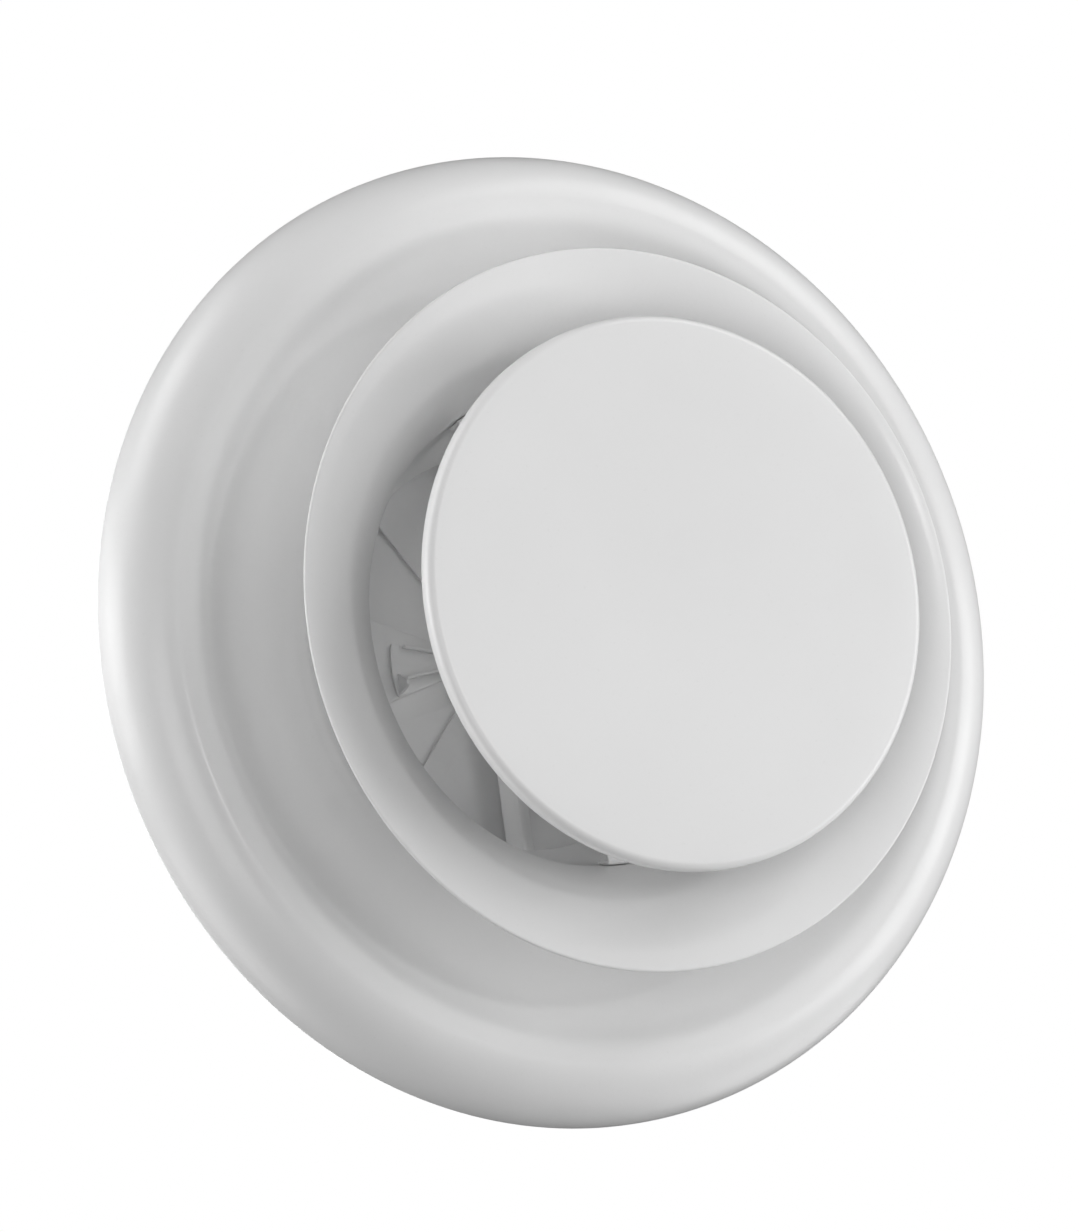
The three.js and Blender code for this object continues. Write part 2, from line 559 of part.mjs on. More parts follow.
// Strap across the bell: a flat piece whose flared ends are bent up along the bell's inner face.
function coneStrap() {
  const bottomZ = STRAP_TOP_Z - SHEET;
  const [low, high] = [flareAngle(bottomZ), flareAngle(STRAP_FOOT_TOP_Z)];
  const steps = 2;
  const wall = Array.from({ length: steps + 1 }, (_, i) => offFlare(low + ((high - low) * i) / steps, GAP));
  const feet = turned(sheetOutline(wall));
  const [waist, foot] = [STRAP_WAIST / 2, STRAP_FOOT_WIDTH / 2];
  const end = STRAP_WAIST_END + foot - waist;
  const outline = [
    [end, -foot], [RIM_RADIUS, -foot], [RIM_RADIUS, foot], [end, foot], [STRAP_WAIST_END, waist],
    [-STRAP_WAIST_END, waist], [-end, foot], [-RIM_RADIUS, foot], [-RIM_RADIUS, -foot], [-end, -foot],
    [-STRAP_WAIST_END, -waist], [STRAP_WAIST_END, -waist],
  ];
  const flat = plate(outline, bottomZ, SHEET).rotate([0, 0, STRAP_ANGLE]);
  const inside = rod(wall[0][0] - SHEET / 2, bottomZ, STRAP_TOP_Z, ROUND_STEPS);
  const band = plate(rectangle(2 * RIM_RADIUS, STRAP_FOOT_WIDTH), bottomZ - SHEET, NECK_TOP_Z);
  const whole = flat.intersect(inside).add(feet.intersect(band.rotate([0, 0, STRAP_ANGLE])));
  const bored = whole.subtract(rod(SPINDLE_RADIUS + GAP, bottomZ - 1, STRAP_TOP_Z + 1));
  addPart('cone_strap', drilled(bored, STRAP_RIVETS), WHITE_PAINT);
}

outerFrame();
rimGasket();
neckCollar();
neckLipSeal();
bridgeBar();
bridgeNut();
rivets();
shutterSeat();
shutterRotor();
shutterLever();
shutterEyelet();
threadedSpindle();
spacerTube();
lockNutAndWasher();
bellCone();
centreDisc();
discStiffener();
discBoss();
coneStrap();

export default diffuser;
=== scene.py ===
"""Looks of a round ceiling air diffuser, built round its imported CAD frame.

Lengths inside the builders are millimetres, because sheet-metal sizes read best that way;
every mesh is scaled to metres as it is made. +Z points up into the ceiling void, the room is at -Z.
"""

import json
import math

import bmesh
import bpy
from mathutils import Matrix, Vector


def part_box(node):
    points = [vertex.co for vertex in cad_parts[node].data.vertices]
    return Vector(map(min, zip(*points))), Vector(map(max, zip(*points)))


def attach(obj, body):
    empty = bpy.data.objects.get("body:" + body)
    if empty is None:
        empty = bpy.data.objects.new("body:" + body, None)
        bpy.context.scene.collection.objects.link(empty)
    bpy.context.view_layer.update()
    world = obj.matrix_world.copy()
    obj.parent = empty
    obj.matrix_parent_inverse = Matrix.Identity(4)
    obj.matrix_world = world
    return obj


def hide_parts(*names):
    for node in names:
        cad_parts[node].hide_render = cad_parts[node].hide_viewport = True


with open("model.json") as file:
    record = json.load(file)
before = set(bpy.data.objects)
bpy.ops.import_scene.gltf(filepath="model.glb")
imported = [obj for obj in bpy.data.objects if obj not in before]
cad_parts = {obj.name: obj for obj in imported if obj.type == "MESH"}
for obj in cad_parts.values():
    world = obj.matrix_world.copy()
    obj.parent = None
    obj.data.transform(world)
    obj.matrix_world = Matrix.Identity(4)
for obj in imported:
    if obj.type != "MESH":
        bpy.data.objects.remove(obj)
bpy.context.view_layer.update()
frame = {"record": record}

MM = 0.001
FINE = 224          # steps round a large turned piece
MEDIUM = 96         # steps round a middle-sized one
SMALL = 40          # steps round a small one


def box_mm(node):
    """Lowest and highest corner of a CAD node, in millimetres."""
    low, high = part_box(node)
    return low / MM, high / MM


# ------------------------------------------------------------------ sizes read from the frame

frame_low, frame_high = box_mm("outer_frame")
collar_low, collar_high = box_mm("neck_collar")
bell_high = box_mm("bell_cone")[1]
disc_low, disc_high = box_mm("centre_disc")
seat_low, seat_high = box_mm("shutter_seat")
rotor_low, rotor_high = box_mm("shutter_rotor")
lever_low, lever_high = box_mm("shutter_lever")
bar_low, bar_high = box_mm("bridge_bar")

SHEET = 1.2                             # pressings, spigot, bar and strap
SHUTTER_SHEET = 1.0                     # seat face and lever
GAP = 0.3                               # between neighbouring pieces
RIM_RADIUS = frame_high.x
RIM_CREST_Z = frame_low.z
RIM_WIDEST_Z = -8.0
DISC_RADIUS = disc_high.x
DISC_FRONT_Z = disc_low.z
NECK_TOP_Z = collar_high.z
FLARE_CENTRE = (112.0, -12.0)   # elliptical flare of the bell's room side
FLARE_HALF = (40.0, 48.0)
BELL_TOP = (63.0, 22.0)
BAR_ANGLE = 105.0
LEVER_ANGLE = 198.0
LEVER_HALF_ANGLE = 10.7
PORTS = 5
PORT_ANGLE = 33.0
SEAT_PORT_ANGLE = 198.0
STRAP_ANGLE = 92.5
STRAP_TOP_Z = -23.8
STRAP_FOOT_TOP_Z = -15.8
STRAP_RIVET_HEIGHT = 3.6
STRAP_RIVET_SPREAD = 9.5                # degrees each side of the middle of a foot
BRIDGE_RIVET_SPREAD = 4.5               # the same
BRIDGE_RIVET_Z = 29.0
SHUTTER_RIVET_ANGLES = (45, 165, 225, 345)
SHUTTER_RIVET_Z = 41.8
SEAM_ANGLE = 60.0
SEAL_BOTTOM_Z = 50.0
GASKET_INNER = 133.0
EYELET_HOLE = 8.0
SPINDLE_RADIUS = 3.9
WALL_INSIDE = 78.0                      # inner face of the spigot
SKIRT_INSIDE = WALL_INSIDE - GAP - SHEET
NECK_RADIUS = WALL_INSIDE + SHEET


# ------------------------------------------------------------------ outlines

def arc(centre, half, start, end, steps):
    """Points on an ellipse, angles in degrees."""
    turns = [math.radians(start + (end - start) * i / steps) for i in range(steps + 1)]
    return [(centre[0] + half[0] * math.cos(t), centre[1] + half[1] * math.sin(t)) for t in turns]


def smooth_path(points, steps=6):
    """Uniform Catmull-Rom curve through points."""
    padded = [points[0]] + list(points) + [points[-1]]
    out = []
    for p0, p1, p2, p3 in zip(padded, padded[1:], padded[2:], padded[3:]):
        for i in range(steps):
            t = i / steps
            out.append(tuple(
                0.5 * (2 * b + (c - a) * t + (2 * a - 5 * b + 4 * c - d) * t * t
                       + (3 * b - a - 3 * c + d) * t ** 3)
                for a, b, c, d in zip(p0, p1, p2, p3)))
    return out + [tuple(points[-1])]


def corner_curve(start, corner, end, steps):
    """A quadratic curve that rounds off a corner."""
    shares = [k / steps for k in range(steps + 1)]
    return [tuple(start * (1 - t) ** 2 + corner * 2 * t * (1 - t) + end * t * t) for t in shares]


def fillet(points, radius, steps=5):
    """The path with each inner corner rounded off."""
    out = [tuple(points[0])]
    for before, here, after in zip(points, points[1:], points[2:]):
        corner = Vector(here)
        into = Vector(before) - corner
        onto = Vector(after) - corner
        reach = min(radius, into.length * 0.45, onto.length * 0.45)
        start = corner + into.normalized() * reach
        end = corner + onto.normalized() * reach
        out += corner_curve(start, corner, end, steps)
    return out + [tuple(points[-1])]


def sheet_outline(curve, thickness=SHEET, cap=4):
    """A closed outline round a sheet whose one face is the curve; the other face lies on the
    curve's left, or on its right for a negative thickness. Its two edges are rounded."""
    normals = []
    for i in range(len(curve)):
        a = Vector(curve[max(i - 1, 0)])
        b = Vector(curve[min(i + 1, len(curve) - 1)])
        run = (b - a).normalized()
        normals.append(Vector((-run.y, run.x)))
    near = [Vector(p) for p in curve]
    far = [p + n * thickness for p, n in zip(near, normals)]

    def edge(start, end, outward):
        middle = (start + end) / 2
        half = (start - end) / 2
        turns = [math.pi * k / (cap + 1) for k in range(1, cap + 1)]
        return [middle + half * math.cos(t) + outward * math.sin(t) for t in turns]

    depth = abs(thickness) / 2
    tail = (near[-1] - near[-2]).normalized() * depth
    head = (near[0] - near[1]).normalized() * depth
    near[-1], far[-1] = near[-1] - tail, far[-1] - tail
    near[0], far[0] = near[0] - head, far[0] - head
    ring = near + edge(near[-1], far[-1], tail) + far[::-1] + edge(far[0], near[0], head)
    return [tuple(p) for p in ring]


# ------------------------------------------------------------------ mesh makers

def new_object(name, mesh_or_bm):
    """Makes an object from millimetre geometry, scaled to metres."""
    if isinstance(mesh_or_bm, bmesh.types.BMesh):
        bmesh.ops.recalc_face_normals(mesh_or_bm, faces=mesh_or_bm.faces)
        mesh = bpy.data.meshes.new(name)
        mesh_or_bm.to_mesh(mesh)
        mesh_or_bm.free()
    else:
        mesh = mesh_or_bm
    mesh.transform(Matrix.Scale(MM, 4))
    piece = bpy.data.objects.new(name, mesh)
    bpy.context.scene.collection.objects.link(piece)
    return piece


def shade(piece, sharp_angle=38.0):
    """Smooth shading with creases left sharp."""
    piece.data.shade_smooth()
    piece.data.set_sharp_from_angle(angle=math.radians(sharp_angle))
    return piece


def revolve_into(bm, outline, steps, matrix=Matrix.Identity(4)):
    """Turns a closed outline of (radius, height) points about Z inside a bmesh."""
    on_axis = 1e-6
    rings = []
    for radius, height in outline:
        if radius < on_axis:
            rings.append([bm.verts.new(matrix @ Vector((0, 0, height)))])
            continue
        turns = [2 * math.pi * i / steps for i in range(steps)]
        rings.append([bm.verts.new(matrix @ Vector((radius * math.cos(t), radius * math.sin(t), height)))
                      for t in turns])
    open_ended = len(rings[0]) == 1 and len(rings[-1]) == 1
    pairs = list(zip(rings, rings[1:]))
    if not open_ended:
        pairs.append((rings[-1], rings[0]))
    for low, high in pairs:
        if len(low) == 1 and len(high) == 1:
            continue
        for i in range(steps):
            j = (i + 1) % steps
            if len(low) == 1:
                bm.faces.new((low[0], high[j], high[i]))
            elif len(high) == 1:
                bm.faces.new((low[i], low[j], high[0]))
            else:
                bm.faces.new((low[i], low[j], high[j], high[i]))


def revolve(name, outline, steps=MEDIUM, matrix=Matrix.Identity(4)):
    bm = bmesh.new()
    revolve_into(bm, outline, steps, matrix)
    return new_object(name, bm)


def flat_plate(name, outlines, bottom, thickness, bevel=0.2, matrix=Matrix.Identity(4)):
    """A flat plate with holes and softened edges, filled by a 2D curve.
    The first outline is the outside."""
    curve = bpy.data.curves.new(name, "CURVE")
    curve.dimensions = "2D"
    curve.fill_mode = "BOTH"
    curve.extrude = thickness / 2 - bevel
    curve.bevel_depth = bevel
    curve.bevel_resolution = 2
    curve.offset = -bevel
    for outline in outlines:
        spline = curve.splines.new("POLY")
        spline.points.add(len(outline) - 1)
        for point, (x, y) in zip(spline.points, outline):
            point.co = (x, y, 0, 1)
        spline.use_cyclic_u = True
    holder = bpy.data.objects.new(name, curve)
    bpy.context.scene.collection.objects.link(holder)
    depsgraph = bpy.context.evaluated_depsgraph_get()
    mesh = bpy.data.meshes.new_from_object(holder.evaluated_get(depsgraph))
    bpy.data.objects.remove(holder)
    bpy.data.curves.remove(curve)
    mesh.transform(matrix @ Matrix.Translation((0, 0, bottom + thickness / 2)))
    bm = bmesh.new()
    bm.from_mesh(mesh)
    bpy.data.meshes.remove(mesh)
    bmesh.ops.remove_doubles(bm, verts=bm.verts, dist=0.004)
    return new_object(name, bm)


def bevelled(bm, width, segments=2, angle=30.0):
    """Rounds off every edge sharper than an angle."""
    sharp = [e for e in bm.edges if len(e.link_faces) == 2 and e.calc_face_angle(0) > math.radians(angle)]
    bmesh.ops.bevel(bm, geom=sharp, offset=width, segments=segments, affect="EDGES", profile=0.5,
                    clamp_overlap=True)
    return bm


def extruded(outline, low, high):
    """A prism whose section lies in XZ and whose length runs along Y."""
    bm = bmesh.new()
    front = [bm.verts.new((x, low, z)) for x, z in outline]
    back = [bm.verts.new((x, high, z)) for x, z in outline]
    bm.faces.new(front)
    bm.faces.new(back[::-1])
    for i in range(len(outline)):
        j = (i + 1) % len(outline)
        bm.faces.new((front[i], front[j], back[j], back[i]))
    bmesh.ops.recalc_face_normals(bm, faces=bm.faces)
    return bm


def joined(name, parts):
    """Several objects as one, without changing their geometry."""
    bm = bmesh.new()
    for part in parts:
        bm.from_mesh(part.data)
        bpy.data.objects.remove(part)
    mesh = bpy.data.meshes.new(name)
    bm.to_mesh(mesh)
    bm.free()
    piece = bpy.data.objects.new(name, mesh)
    bpy.context.scene.collection.objects.link(piece)
    return piece


def circle(radius, steps=MEDIUM):
    return arc((0, 0), (radius, radius), 0, 360, steps)[:-1]


# ------------------------------------------------------------------ material makers

class Nodes:
    """Short calls for building a node tree."""

    def __init__(self, name):
        self.material = bpy.data.materials.new(name)
        self.material.use_nodes = True
        self.tree = self.material.node_tree
        self.shader = self.tree.nodes["Principled BSDF"]
        self.place = self.add("ShaderNodeTexCoord").outputs["Object"]

    def add(self, kind, **settings):
        node = self.tree.nodes.new(kind)
        for key, value in settings.items():
            setattr(node, key, value)
        return node

    def link(self, source, target):
        self.tree.links.new(source, target)

    def stretched(self, scale):
        node = self.add("ShaderNodeMapping")
        node.inputs["Scale"].default_value = scale
        self.link(self.place, node.inputs["Vector"])
        return node.outputs["Vector"]

    def noise(self, scale, detail=3.0, roughness=0.5, place=None):
        node = self.add("ShaderNodeTexNoise")
        node.inputs["Scale"].default_value = scale
        node.inputs["Detail"].default_value = detail
        node.inputs["Roughness"].default_value = roughness
        self.link(place or self.place, node.inputs["Vector"])
        return node.outputs["Fac"]

    def cells(self, scale, feature="F1", output="Color"):
        node = self.add("ShaderNodeTexVoronoi", feature=feature)
        node.inputs["Scale"].default_value = scale
        self.link(self.place, node.inputs["Vector"])
        return node.outputs[output]

    def remap(self, value, low, high, start=0.3, end=0.7):
        node = self.add("ShaderNodeMapRange")
        for key, number in (("From Min", start), ("From Max", end), ("To Min", low), ("To Max", high)):
            node.inputs[key].default_value = number
        self.link(value, node.inputs["Value"])
        return node.outputs["Result"]

    def math(self, operation, first, second):
        node = self.add("ShaderNodeMath", operation=operation)
        for socket, value in zip(node.inputs, (first, second)):
            if isinstance(value, (int, float)):
                socket.default_value = value
            else:
                self.link(value, socket)
        return node.outputs[0]

    def blend(self, factor, first, second):
        node = self.add("ShaderNodeMix", data_type="RGBA")
        self.link(factor, node.inputs["Factor"])
        for socket, value in ((node.inputs[6], first), (node.inputs[7], second)):
            if isinstance(value, tuple):
                socket.default_value = (*value, 1.0)
            else:
                self.link(value, socket)
        return node.outputs[2]

    def bump(self, *layers):
        """Each layer is (height, strength, distance in metres)."""
        normal = None
        for height, strength, distance in layers:
            node = self.add("ShaderNodeBump")
            node.inputs["Strength"].default_value = strength
            node.inputs["Distance"].default_value = distance
            self.link(height, node.inputs["Height"])
            if normal:
                self.link(normal, node.inputs["Normal"])
            normal = node.outputs["Normal"]
        self.link(normal, self.shader.inputs["Normal"])

    def color(self, value):
        self.link(value, self.shader.inputs["Base Color"])

    def rough(self, value):
        self.link(value, self.shader.inputs["Roughness"])

    def edges(self, start=0.515, end=0.56):
        """1 on convex edges and 0 on flat or hollow ground."""
        return self.remap(self.add("ShaderNodeNewGeometry").outputs["Pointiness"], 0.0, 1.0, start, end)


def powder_coat():
    """Semi-gloss white powder coat: fine orange peel, cloudy gloss, paint thinner and greyer on edges."""
    n = Nodes("white_powder_coat")
    clouds = n.remap(n.noise(14.0, 4.0), 0.0, 1.0)
    base = n.blend(clouds, (0.865, 0.865, 0.865), (0.89, 0.89, 0.89))
    specks = n.remap(n.noise(900.0, 1.0), 0.0, 0.35, 0.68, 0.78)
    speckled = n.blend(specks, base, (0.82, 0.82, 0.815))
    worn = n.math("MULTIPLY", n.edges(), n.remap(n.noise(160.0, 4.0), 0.0, 0.5, 0.45, 0.7))
    n.color(n.blend(worn, speckled, (0.78, 0.78, 0.78)))
    n.rough(n.remap(n.noise(45.0, 5.0, 0.6), 0.36, 0.47))
    n.shader.inputs["IOR"].default_value = 1.5
    n.shader.inputs["Coat Weight"].default_value = 0.18
    n.shader.inputs["Coat Roughness"].default_value = 0.17
    n.bump((n.noise(520.0, 2.0, 0.45), 0.18, 0.00012), (n.noise(60.0, 2.0), 0.12, 0.0004))
    return n.material


def galvanised():
    """Galvanised sheet: frosted spangle of cool grey crystals under a thin white bloom."""
    n = Nodes("zinc_coated_sheet")
    spangle = n.add("ShaderNodeSeparateColor")
    n.link(n.cells(190.0), spangle.inputs["Color"])
    crystals = n.blend(spangle.outputs["Red"], (0.50, 0.515, 0.53), (0.68, 0.69, 0.70))
    bloom = n.remap(n.noise(35.0, 5.0, 0.6), 0.0, 0.45, 0.5, 0.72)
    n.color(n.blend(bloom, crystals, (0.72, 0.725, 0.73)))
    grain = n.noise(700.0, 3.0)
    frost = n.remap(spangle.outputs["Green"], 0.30, 0.46, 0.0, 1.0)
    n.rough(n.math("ADD", frost, n.remap(grain, 0.0, 0.08)))
    n.shader.inputs["Metallic"].default_value = 0.85
    n.bump((spangle.outputs["Blue"], 0.06, 0.00008), (grain, 0.10, 0.00005))
    return n.material


def zinc_plated():
    """Bright zinc with a faint straw tint, fine turning lines and a few dull handling marks."""
    n = Nodes("zinc_plated_fastener")
    tint = n.remap(n.noise(80.0, 3.0), 0.0, 1.0)
    dull = n.remap(n.noise(260.0, 4.0), 0.0, 0.6, 0.52, 0.7)
    base = n.blend(tint, (0.70, 0.71, 0.71), (0.76, 0.75, 0.70))
    n.color(n.blend(dull, base, (0.55, 0.55, 0.54)))
    lines = n.noise(40.0, 2.0, 0.5, n.stretched((8.0, 8.0, 90.0)))
    n.rough(n.math("ADD", n.remap(lines, 0.20, 0.32), n.remap(dull, 0.0, 0.12, 0.0, 1.0)))
    n.shader.inputs["Metallic"].default_value = 1.0
    n.bump((lines, 0.12, 0.00006))
    return n.material


def rivet_metal():
    """Mill-finish aluminium, scuffed by the rivet tool."""
    n = Nodes("rivet_aluminium")
    scuffs = n.remap(n.noise(420.0, 5.0, 0.7), 0.0, 1.0, 0.35, 0.65)
    n.color(n.blend(scuffs, (0.70, 0.71, 0.72), (0.84, 0.845, 0.85)))
    n.rough(n.remap(scuffs, 0.44, 0.30, 0.0, 1.0))
    n.shader.inputs["Metallic"].default_value = 1.0
    n.bump((n.noise(900.0, 3.0), 0.2, 0.00005))
    return n.material


def seal_rubber():
    """Matt extruded rubber with a grey bloom and fine drag lines round it."""
    n = Nodes("seal_rubber")
    bloom = n.remap(n.noise(70.0, 5.0, 0.65), 0.0, 1.0, 0.4, 0.75)
    n.color(n.blend(bloom, (0.022, 0.022, 0.023), (0.052, 0.052, 0.053)))
    n.rough(n.remap(bloom, 0.62, 0.86, 0.0, 1.0))
    lines = n.noise(60.0, 2.0, 0.5, n.stretched((3.0, 3.0, 60.0)))
    n.bump((lines, 0.25, 0.0001), (n.noise(1500.0, 2.0), 0.2, 0.00004))
    return n.material


def foam_tape():
    """Dark closed-cell foam with its open skin of tiny pores."""
    n = Nodes("foam_tape")
    pores = n.cells(1300.0, output="Distance")
    shadowed = n.remap(pores, 0.0, 1.0, 0.15, 0.6)
    n.color(n.blend(shadowed, (0.030, 0.030, 0.032), (0.085, 0.085, 0.088)))
    n.rough(n.remap(n.noise(90.0, 4.0), 0.85, 0.97))
    n.bump((pores, 0.6, 0.0003), (n.noise(60.0, 3.0), 0.3, 0.0005))
    return n.material


def eyelet_nylon():
    """Natural nylon, slightly cloudy."""
    n = Nodes("eyelet_nylon")
    cloud = n.remap(n.noise(220.0, 4.0), 0.0, 1.0)
    n.color(n.blend(cloud, (0.74, 0.72, 0.66), (0.82, 0.80, 0.75)))
    n.rough(n.remap(n.noise(500.0, 2.0), 0.42, 0.58))
    n.shader.inputs["Subsurface Weight"].default_value = 0.15
    n.shader.inputs["Subsurface Radius"].default_value = (0.002, 0.0018, 0.0015)
    n.bump((n.noise(1200.0, 2.0), 0.1, 0.00004))
    return n.material


def floor_paint():
    """Pale matt paint, faintly mottled."""
    n = Nodes("floor_paint")
    mottled = n.remap(n.noise(1.5, 5.0), 0.0, 1.0)
    n.color(n.blend(mottled, (0.78, 0.78, 0.78), (0.81, 0.81, 0.81)))
    n.rough(n.remap(n.noise(6.0, 4.0), 0.6, 0.8))
    return n.material


LOOKS = {
    "white_powder_coat": powder_coat(),
    "zinc_coated_sheet": galvanised(),
    "zinc_plated_fastener": zinc_plated(),
    "rivet_aluminium": rivet_metal(),
    "seal_rubber": seal_rubber(),
    "foam_tape": foam_tape(),
    "eyelet_nylon": eyelet_nylon(),
}
SLOT_OF = {s["node"]: s["material_slot"] for s in frame["record"]["subparts"]}
BODY_OF = {node: body for body, nodes in frame["record"]["behaviour"]["bodies"].items() for node in nodes}


def fit(piece, node, sharp_angle=38.0):
    """Finishes a detailed piece: it takes the node's place, body, slot and material."""
    shade(piece, sharp_angle)
    slot = SLOT_OF[node]
    piece.data.materials.clear()
    piece.data.materials.append(LOOKS[slot])
    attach(piece, BODY_OF[node])
    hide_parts(node)
    return piece


# ------------------------------------------------------------------ white pressings

def rim_curve():
    """Room side of the frame, from its back flange round the rim and up the throat to the neck."""
    gasket_low = box_mm("rim_gasket")[0]
    flange_z = gasket_low.z - GAP - SHEET
    crest_radius = 132.5
    roll = 4.2
    crest_half = (RIM_RADIUS - crest_radius, RIM_WIDEST_Z - RIM_CREST_Z)
    crest = (crest_radius, RIM_WIDEST_Z)
    throat = [(126.4, -25.6), (120.0, -19.6), (110.0, -10.6), (100.0, -4.0), (90.0, 0.6), (84.0, 2.0),
              (80.5, 2.4), (77.6, 3.5), (76.5, 6.2), (76.5, 10.0), (76.5, 18.0)]
    rounded = arc(crest, crest_half, 0, -90, 28)
    inner = smooth_path([rounded[-3], rounded[-1]] + throat, 8)
    after_crest = [p for p in inner if p[0] < crest_radius - 0.05]
    back = [(GASKET_INNER - 2.0, flange_z), (GASKET_INNER + 5.0, flange_z)]
    rolled = arc((RIM_RADIUS - roll, RIM_WIDEST_Z), (roll, flange_z - RIM_WIDEST_Z), 90, 0, 12)
    return back + rolled + rounded[1:] + after_crest


def outer_frame():
    fit(revolve("frame_pressing", sheet_outline(rim_curve(), -SHEET), FINE), "outer_frame")


def flare_curve(lip_angle):
    """Room side of the bell, from its neck end to just short of the lip."""
    flare = arc(FLARE_CENTRE, FLARE_HALF, 184, lip_angle, 44)
    return smooth_path([BELL_TOP, flare[0]], 10)[:-1] + flare


def off_flare(angle, distance):
    """A point on the flare, moved off its room side."""
    t = math.radians(angle)
    point = Vector((FLARE_CENTRE[0] + FLARE_HALF[0] * math.cos(t),
                    FLARE_CENTRE[1] + FLARE_HALF[1] * math.sin(t)))
    normal = Vector((math.cos(t) / FLARE_HALF[0], math.sin(t) / FLARE_HALF[1])).normalized()
    return tuple(point + normal * distance)


def flare_angle(height):
    """The angle on the flare ellipse of a height on the bell's inner face."""
    return 180 + math.degrees(math.asin((FLARE_CENTRE[1] - height) / FLARE_HALF[1]))


def bell_cone():
    """The bell, whose lip is hemmed into a thin round bead."""
    lip_angle = 180 + math.degrees(math.acos((FLARE_CENTRE[0] - bell_high.x + SHEET / 2) / FLARE_HALF[0]))
    outline = sheet_outline(flare_curve(lip_angle), SHEET, cap=6)
    fit(revolve("bell_pressing", outline, FINE), "bell_cone")


def centre_disc():
    """Shallow pan with a softly rolled corner and a short side wall."""
    roll = 2.4
    wall_top = disc_high.z
    corner = (DISC_RADIUS - roll, DISC_FRONT_Z + roll)
    room = [(0.001, DISC_FRONT_Z)] + [(r, DISC_FRONT_Z) for r in (10, 25, 40, 55, 68)]
    room += arc(corner, (roll, roll), -90, 0, 10) + [(DISC_RADIUS, wall_top)]
    outline = sheet_outline(room, SHEET, cap=4)
    closed = [(0.0, DISC_FRONT_Z)] + [p for p in outline if p[0] > 1.0] + [(0.0, DISC_FRONT_Z + SHEET)]
    fit(revolve("disc_pressing", closed, FINE), "centre_disc")


outer_frame()
bell_cone()
centre_disc()

# ------------------------------------------------------------------ solid joining

def combined(base, tool, operation):
    """Joins or cuts two closed pieces; the tool is used up."""
    modifier = base.modifiers.new("combine", "BOOLEAN")
    modifier.operation = operation
    modifier.solver = "EXACT"
    modifier.object = tool
    depsgraph = bpy.context.evaluated_depsgraph_get()
    mesh = bpy.data.meshes.new_from_object(base.evaluated_get(depsgraph))
    base.modifiers.remove(modifier)
    old = base.data
    base.data = mesh
    bpy.data.meshes.remove(old)
    spare = tool.data
    bpy.data.objects.remove(tool)
    bpy.data.meshes.remove(spare)
    return base


def block(name, low, high, angle=0.0):
    """A box used as a cutting tool, turned to a direction round Z."""
    bm = bmesh.new()
    bmesh.ops.create_cube(bm, size=1.0)
    size = Vector(high) - Vector(low)
    middle = (Vector(high) + Vector(low)) / 2
    for vert in bm.verts:
        vert.co = Vector(c * s for c, s in zip(vert.co, size)) + middle
    bmesh.ops.rotate(bm, verts=bm.verts, matrix=Matrix.Rotation(math.radians(angle), 3, "Z"))
    return new_object(name, bm)


# ------------------------------------------------------------------ neck and its seals

def rim_gasket():
    low, high = box_mm("rim_gasket")
    inner = GASKET_INNER
    outer = high.x
    mid = (low.z + high.z) / 2
    sag = 0.25
    section = [(inner, low.z + 0.5), (inner + 0.4, low.z), (outer - 0.4, low.z), (outer, low.z + 0.5),
               (outer - sag, mid), (outer, high.z - 0.5), (outer - 0.4, high.z), (inner + 0.4, high.z),
               (inner, high.z - 0.5), (inner + sag, mid)]
    fit(revolve("foam_ring", section, FINE), "rim_gasket", 60)


def neck_collar():
    """Rolled spigot with a turned-out flange, two swaged ridges and a side seam."""
    flange_z = collar_low.z
    inside = WALL_INSIDE
    outside = NECK_RADIUS
    flange_radius = 91.0
    ridge_radius = outside + 1.4

    def bead(middle, half):
        swell = ridge_radius - outside
        return [(outside + swell * (0.5 + 0.5 * math.cos(math.pi * k / 5)), middle + half * k / 5)
                for k in range(-5, 6)]

    mouth = 2.2
    section = arc((inside + mouth, flange_z + mouth), (mouth, mouth), 180, 270, 6)
    section += [(flange_radius - 0.5, flange_z), (flange_radius, flange_z + 0.5),
                (flange_radius, flange_z + SHEET - 0.5), (flange_radius - 0.5, flange_z + SHEET),
                (outside + 1.0, flange_z + SHEET),
                (outside + 0.3, flange_z + SHEET + 0.3), (outside, flange_z + SHEET + 1.0), (outside, 24.0)]
    section += bead(47.6, 1.3) + [(outside, SEAL_BOTTOM_Z + 5)]
    section += bead(NECK_TOP_Z - 1.9, 1.5)
    section += [(outside - 0.3, NECK_TOP_Z - 0.1), (outside - 0.6, NECK_TOP_Z), (inside + 0.3, NECK_TOP_Z),
                (inside, NECK_TOP_Z - 0.4), (inside, 40.0)]
    collar = revolve("spigot", section, FINE)
    seam_low = flange_z + SHEET + 1.5
    seam_high = 45.8
    seam_outline = [(-5, seam_low), (5, seam_low), (5, seam_high), (-5, seam_high)]
    seam = flat_plate("spigot_seam", [seam_outline], 0, 0.6, 0.2)
    wrap_round(seam, outside - 0.15, SEAM_ANGLE)
    spot = [(0.0, -0.3), (1.7, -0.3), (1.9, 0.05), (1.5, 0.18), (0.9, 0.1), (0.0, 0.02)]
    for k in range(4):
        height = seam_low + (seam_high - seam_low) * (k + 0.5) / 4
        dimple = revolve("spot", spot, SMALL)
        dimple.data.transform(Matrix.Translation((0, height * MM, 0.45 * MM)))
        wrap_round(dimple, outside - 0.15, SEAM_ANGLE)
        seam = joined("spigot_seam", [seam, dimple])
    fit(joined("spigot", [collar, seam]), "neck_collar")


